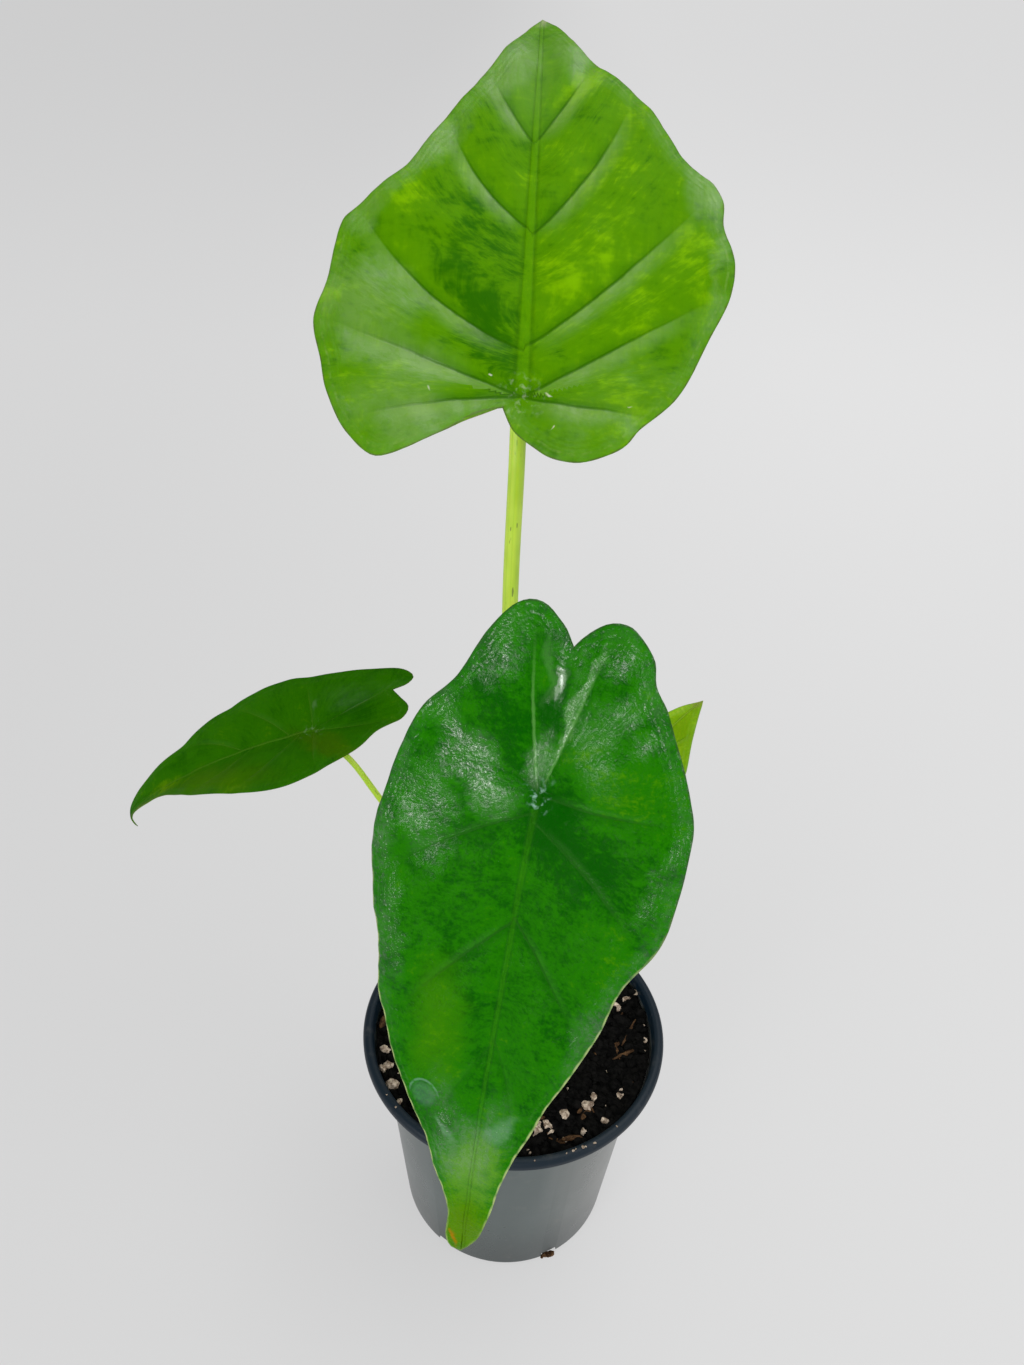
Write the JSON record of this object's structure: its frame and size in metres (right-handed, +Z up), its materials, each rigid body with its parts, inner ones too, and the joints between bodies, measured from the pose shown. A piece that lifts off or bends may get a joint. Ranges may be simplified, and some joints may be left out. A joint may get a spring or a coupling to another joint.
{
  "type": "potted sumo alocasia",
  "caption": "Upright foliage plant with arrow-shaped leaves on long stalks, growing from a corm in a round nursery pot filled with soil.",
  "frame": {"origin": "centre of the pot's flat base, on the surface that the pot stands on", "axes": "+Z up, the front of the plant, where the large glossy leaf hangs, looks along -Y, and +X is to the right as seen from the front"},
  "size_m": [0.1854, 0.2206, 0.3851],
  "materials": {
    "pot_plastic": "moulded, soft satin sheen, dusty lip",
    "potting_soil": "damp dark peat with pale perlite grains",
    "corm": "rough brown skin",
    "stalk": "smooth, semi-gloss, fine dark flecks",
    "young_leaf": "satin, mottled, sunken veins",
    "glossy_leaf": "glossy, finely wrinkled",
    "dark_leaf": "satin",
    "pale_leaf": "satin, pale"
  },
  "bodies": {
    "root": {"pot": "pot_plastic", "soil": "potting_soil", "rootstock": "corm", "stalk_top": "stalk", "blade_top": "young_leaf", "stalk_front": "stalk", "blade_front": "glossy_leaf", "stalk_left": "stalk", "blade_left": "dark_leaf", "stalk_right": "stalk", "blade_right": "pale_leaf"}
  },
  "joints": []
}
